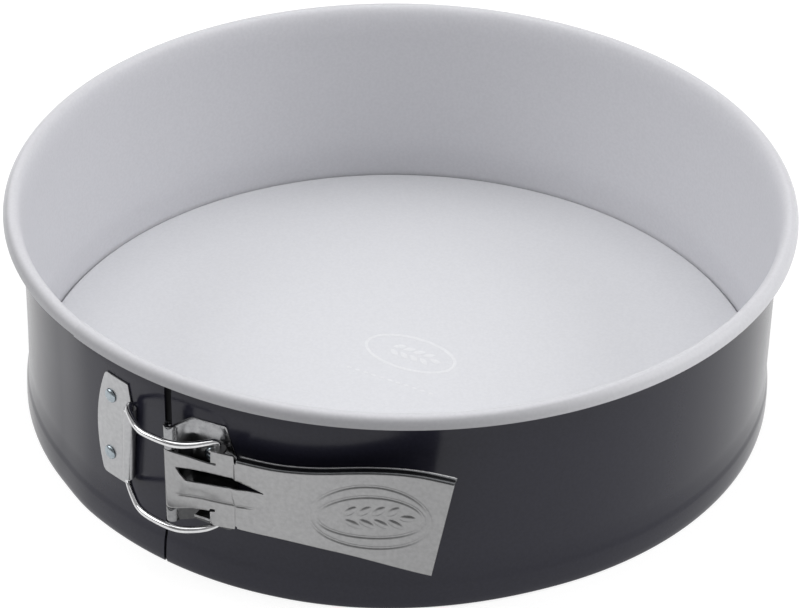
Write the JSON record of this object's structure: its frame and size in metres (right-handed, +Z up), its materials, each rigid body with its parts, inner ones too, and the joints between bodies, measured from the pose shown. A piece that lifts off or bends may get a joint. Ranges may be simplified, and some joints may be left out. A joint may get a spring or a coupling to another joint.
{
  "type": "springform pan",
  "caption": "Round springform cake pan: lapped dark side band with a rounded rim, loose flat base, and a riveted over-centre lever clasp with a wire bail.",
  "frame": {"origin": "centre of the circle on which the pan stands, on the table plane", "axes": "+Z up out of the pan's mouth, -Y towards the seam between the band's two ends, +X to the lever's side of the seam"},
  "size_m": [0.2732, 0.2798, 0.078],
  "materials": {
    "coated_band": "semi-gloss anthracite outside, pale grey inside",
    "coated_base": "satin pale grey",
    "plated_steel": "satin plated",
    "rivet_steel": "dull galvanised",
    "bright_wire": "bright drawn wire"
  },
  "bodies": {
    "ring": {"side_band": "coated_band", "hinge_plate": "plated_steel", "hinge_rivet_upper": "rivet_steel", "hinge_rivet_lower": "rivet_steel", "hinge_pin": "bright_wire"},
    "lever": {"clasp_lever": "plated_steel"},
    "bail": {"wire_bail": "bright_wire"},
    "catch_end": {"catch_plate": "plated_steel", "catch_rivet_upper": "rivet_steel", "catch_rivet_lower": "rivet_steel"},
    "base": {"base_plate": "coated_base"}
  },
  "joints": [
    {"name": "lever_hinge", "type": "hinge", "parent": "ring", "child": "lever", "pos_m": [0.00378, -0.13655, 0.042], "axis": [0, 0, -1], "range_deg": [0, 160], "deforming": ["side_band"]},
    {"name": "bail_pivot", "type": "hinge", "parent": "lever", "child": "bail", "pos_m": [0.02011, -0.13309, 0.042], "axis": [0, 0, 1], "range_deg": [0, 141]},
    {"name": "catch_curl", "type": "hinge", "parent": "bail", "child": "catch_end", "pos_m": [-0.0165, -0.13258, 0.042], "axis": [0, 0, 1], "range_deg": [0, 17]},
    {"name": "base_lift", "type": "slide", "parent": "ring", "child": "base", "axis": [0, 0, 1], "range_m": [0, 0.09], "deforming": ["side_band"]}
  ],
  "couplings": [
    {"joint": "bail_pivot", "follows": "lever_hinge", "ratio": 0.8771},
    {"joint": "catch_curl", "follows": "lever_hinge", "ratio": 0.1001}
  ]
}
